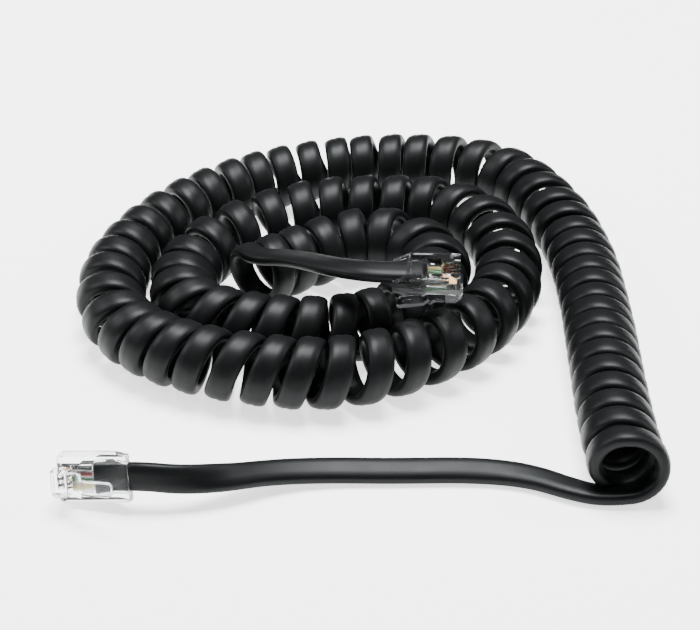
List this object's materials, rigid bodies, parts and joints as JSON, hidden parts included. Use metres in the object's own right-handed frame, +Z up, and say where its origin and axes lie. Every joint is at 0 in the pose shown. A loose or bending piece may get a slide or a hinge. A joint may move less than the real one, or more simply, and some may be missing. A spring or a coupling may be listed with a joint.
{
  "type": "coiled telephone handset cord",
  "caption": "Black coiled telephone handset cord lying in a loose spiral, with a short flat lead and a clear four-way modular plug at each end.",
  "frame": {"origin": "on the resting surface, under the middle of the whole cord as it lies", "axes": "+Z up; +Y from the base plug's lead towards the far side of the spiral; +X right, towards the side where the curly stretch starts"},
  "size_m": [0.1033, 0.1265, 0.0218],
  "materials": {
    "jacket": "satin",
    "plug_body": "gloss",
    "insulation_black": "satin",
    "insulation_red": "satin",
    "insulation_green": "satin",
    "insulation_yellow": "satin",
    "contact_metal": "polished"
  },
  "bodies": {
    "cord": {"curly_cord": "jacket", "base_lead": "jacket", "handset_lead": "jacket", "base_plug_housing": "plug_body", "base_jacket_end": "jacket", "base_wire_clamp": "plug_body", "base_jacket_clamp": "plug_body", "base_conductor_black": "insulation_black", "base_conductor_red": "insulation_red", "base_conductor_green": "insulation_green", "base_conductor_yellow": "insulation_yellow", "base_contact_1": "contact_metal", "base_contact_2": "contact_metal", "base_contact_3": "contact_metal", "base_contact_4": "contact_metal", "handset_plug_housing": "plug_body", "handset_jacket_end": "jacket", "handset_wire_clamp": "plug_body", "handset_jacket_clamp": "plug_body", "handset_conductor_black": "insulation_black", "handset_conductor_red": "insulation_red", "handset_conductor_green": "insulation_green", "handset_conductor_yellow": "insulation_yellow", "handset_contact_1": "contact_metal", "handset_contact_2": "contact_metal", "handset_contact_3": "contact_metal", "handset_contact_4": "contact_metal"},
    "base_latch_body": {"base_latch": "plug_body"},
    "handset_latch_body": {"handset_latch": "plug_body"}
  },
  "joints": [
    {"name": "base_latch_hinge", "type": "hinge", "parent": "cord", "child": "base_latch_body", "pos_m": [-0.04559, -0.05797, 0.00552], "axis": [-0.0756, 0.2893, 0.9543], "range_deg": [0, 18], "stiffness_Nm_per_rad": 0.1},
    {"name": "handset_latch_hinge", "type": "hinge", "parent": "cord", "child": "handset_latch_body", "pos_m": [0.01665, -0.01336, 0.0156], "axis": [0.0517, 0.9863, 0.1564], "range_deg": [0, 18], "stiffness_Nm_per_rad": 0.1}
  ]
}
